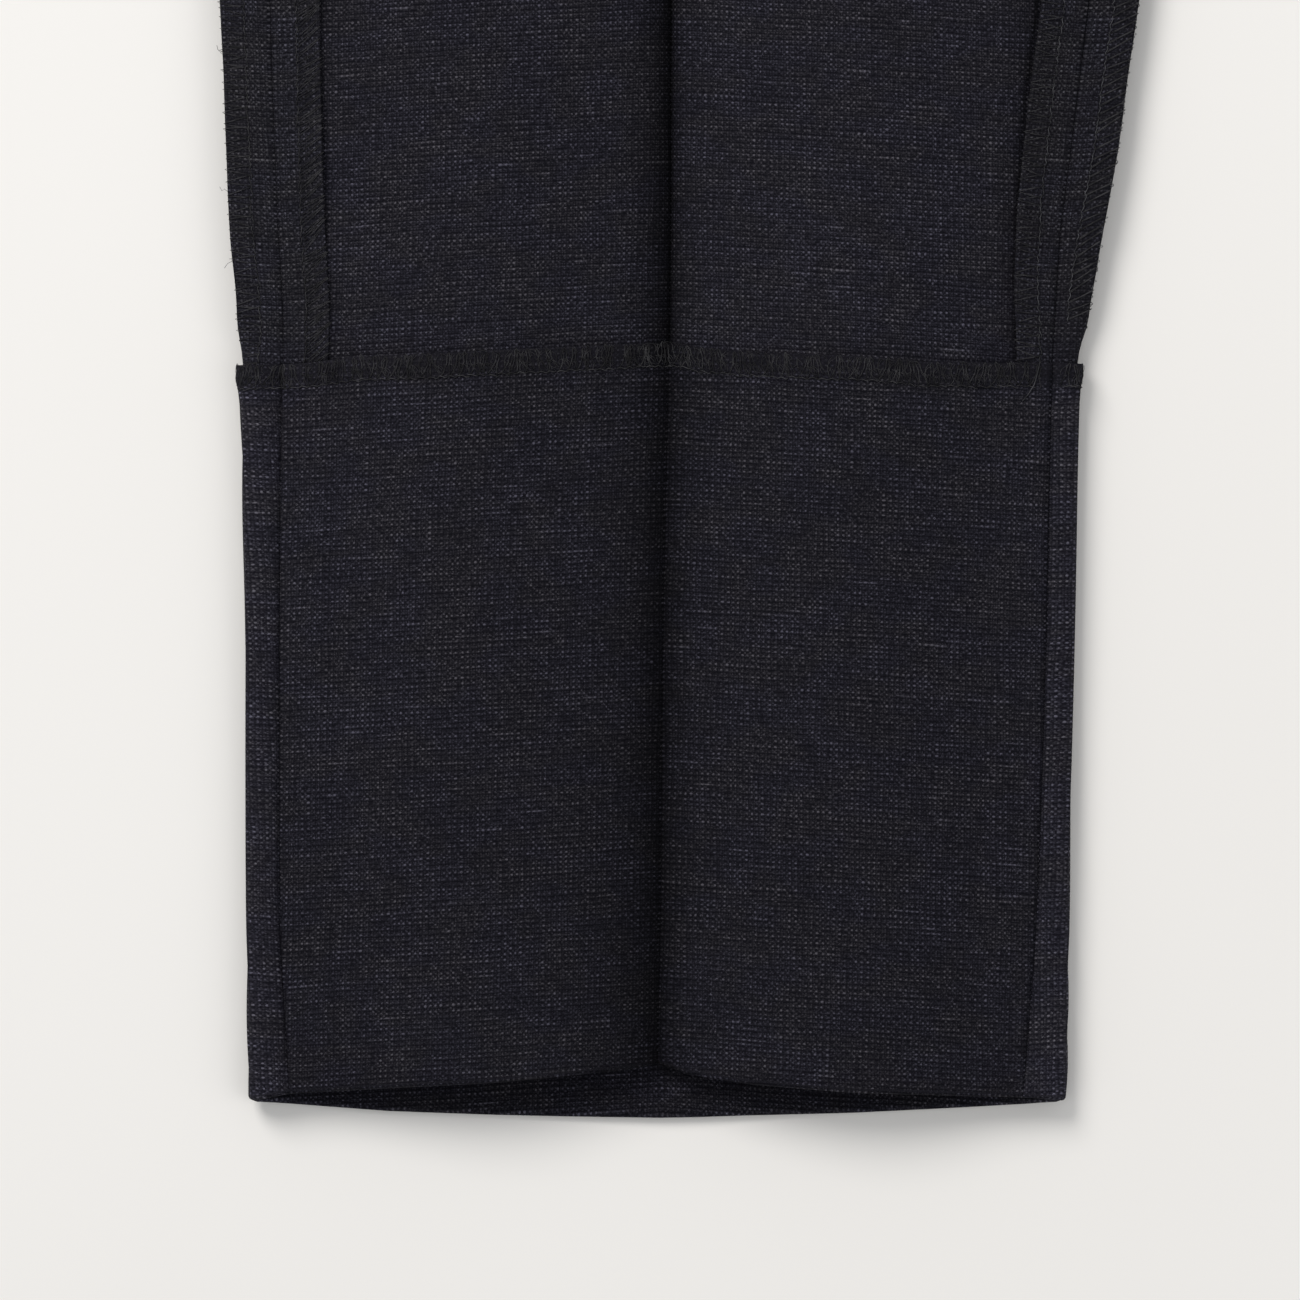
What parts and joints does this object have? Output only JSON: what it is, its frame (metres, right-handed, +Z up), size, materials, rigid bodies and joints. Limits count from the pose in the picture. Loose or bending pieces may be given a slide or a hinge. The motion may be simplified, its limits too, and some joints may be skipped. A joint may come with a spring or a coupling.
{
  "type": "suit trousers",
  "caption": "Suit trousers turned inside out and laid flat, front up: pressed-open seams, deep turned-up slanted hems, sharp creases, waistband, side pocket bags and closed zip fly.",
  "frame": {"origin": "on the floor under the middle of the garment, half way along its length and between its two sides", "axes": "+Y from the hems to the waist, +X to the right of someone who looks down at the garment's front with the waist at the top, +Z up"},
  "size_m": [0.567, 1.034, 0.0188],
  "materials": {
    "suiting": "dark navy hopsack-weave wool suiting, dry and slightly slubby, pressed",
    "allowance": "the same suiting at its raw edges, pressed open and overlocked in dark thread",
    "pocketing": "fine plain-weave pocketing cotton, dark and matt",
    "zip_tape": "woven herringbone zip tape, matt",
    "zip_metal": "aged dark metal, satin",
    "button": "dark horn-like button, polished"
  },
  "bodies": {
    "root": {"front_left": "suiting", "front_right": "suiting", "back_left": "suiting", "back_right": "suiting", "outseam_front_left": "allowance", "outseam_front_right": "allowance", "outseam_back_left": "allowance", "outseam_back_right": "allowance", "inseam_front_left": "allowance", "inseam_front_right": "allowance", "inseam_back_left": "allowance", "inseam_back_right": "allowance", "rise_front_left": "allowance", "rise_front_right": "allowance", "rise_back_left": "allowance", "rise_back_right": "allowance", "waistband_left": "suiting", "waistband_right": "suiting", "waist_underlap": "suiting", "belt_loop_1": "suiting", "belt_loop_2": "suiting", "belt_loop_3": "suiting", "belt_loop_4": "suiting", "belt_loop_5": "suiting", "belt_loop_6": "suiting", "belt_loop_7": "suiting", "pocket_bag_left": "pocketing", "pocket_bag_right": "pocketing", "fly_facing": "suiting", "fly_shield": "suiting", "zip_tape_left": "zip_tape", "zip_tape_right": "zip_tape", "zip_chain": "zip_metal", "zip_slider": "zip_metal", "zip_tab": "zip_metal", "waist_button": "button"}
  },
  "joints": []
}
